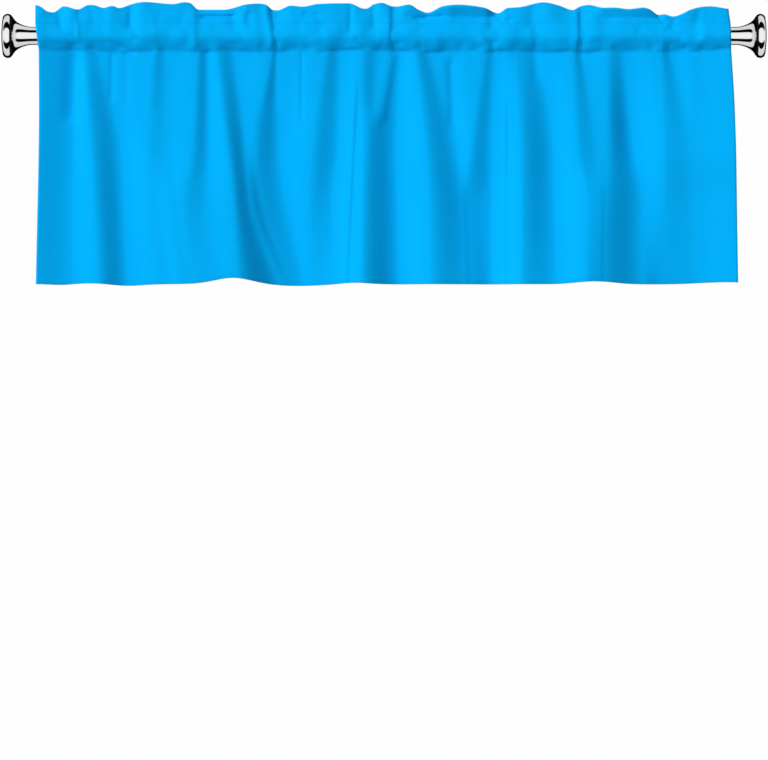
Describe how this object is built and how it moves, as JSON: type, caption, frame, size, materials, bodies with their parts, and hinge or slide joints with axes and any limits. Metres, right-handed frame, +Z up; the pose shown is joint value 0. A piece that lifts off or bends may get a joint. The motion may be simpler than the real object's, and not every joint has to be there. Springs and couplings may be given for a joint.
{
  "type": "rod pocket window valance on a curtain rod",
  "caption": "Short window valance of plain azure cloth, gathered by its rod pocket on a chrome curtain rod with a trumpet finial at each end, a ruffled heading above.",
  "frame": {"origin": "on the curtain rod's axis, half way along the rod", "axes": "+X along the rod towards the right-hand finial as seen from the room, +Y towards the window, +Z up; the cloth's front faces -Y"},
  "size_m": [1.2488, 0.0722, 0.4606],
  "materials": {
    "cloth": "matt plain weave, azure blue",
    "rod_metal": "polished",
    "finial_metal": "polished"
  },
  "bodies": {
    "root": {"valance": "cloth", "rod": "rod_metal", "finial_left": "finial_metal", "finial_right": "finial_metal"}
  },
  "joints": []
}
